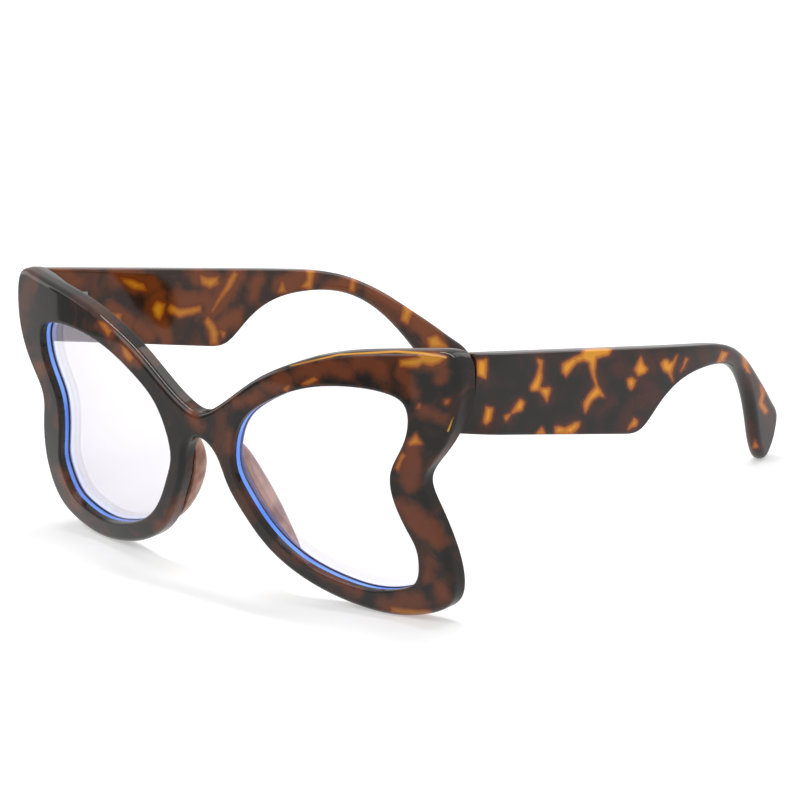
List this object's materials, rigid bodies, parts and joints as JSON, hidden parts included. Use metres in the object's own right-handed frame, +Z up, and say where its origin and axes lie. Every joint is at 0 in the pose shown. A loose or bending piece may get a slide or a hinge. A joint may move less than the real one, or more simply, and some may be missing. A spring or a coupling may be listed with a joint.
{
  "type": "pair of butterfly glasses",
  "caption": "Oversized butterfly glasses with clear coated lenses, a tortoiseshell plastic front and wide stepped temples that fold on barrel hinges.",
  "frame": {"origin": "middle of the floor area under the open glasses, at the level of the lower rims and temple tips", "axes": "+X to the wearer's left across the front, -Y the way the front faces, +Y along the temples, +Z up"},
  "size_m": [0.1442, 0.1366, 0.0619],
  "materials": {
    "frame_plastic": "polished tortoiseshell plastic, near-black brown with red-brown clouds and amber flecks",
    "temple_plastic": "polished tortoiseshell plastic, near-black brown with sharp amber flecks",
    "pad_plastic": "polished translucent red-brown plastic",
    "lens": "clear plastic lens with a faint violet reflection coating and a blue glint in its edge",
    "hinge_metal": "satin nickel silver",
    "screw_metal": "bright steel with a slotted head"
  },
  "bodies": {
    "front": {"front_frame": "frame_plastic", "lens_left": "lens", "lens_right": "lens", "nose_pad_left": "pad_plastic", "nose_pad_right": "pad_plastic", "front_hinge_left": "hinge_metal", "front_hinge_right": "hinge_metal", "hinge_screw_left": "screw_metal", "hinge_screw_right": "screw_metal"},
    "left_temple": {"temple_left": "temple_plastic", "temple_hinge_left": "hinge_metal"},
    "right_temple": {"temple_right": "temple_plastic", "temple_hinge_right": "hinge_metal"}
  },
  "joints": [
    {"name": "left_temple_fold", "type": "hinge", "parent": "front", "child": "left_temple", "pos_m": [0.06603, -0.05061, 0.05147], "axis": [0, 0, 1], "range_deg": [0, 82]},
    {"name": "right_temple_fold", "type": "hinge", "parent": "front", "child": "right_temple", "pos_m": [-0.06603, -0.05061, 0.05147], "axis": [0, 0, -1], "range_deg": [0, 71]}
  ]
}
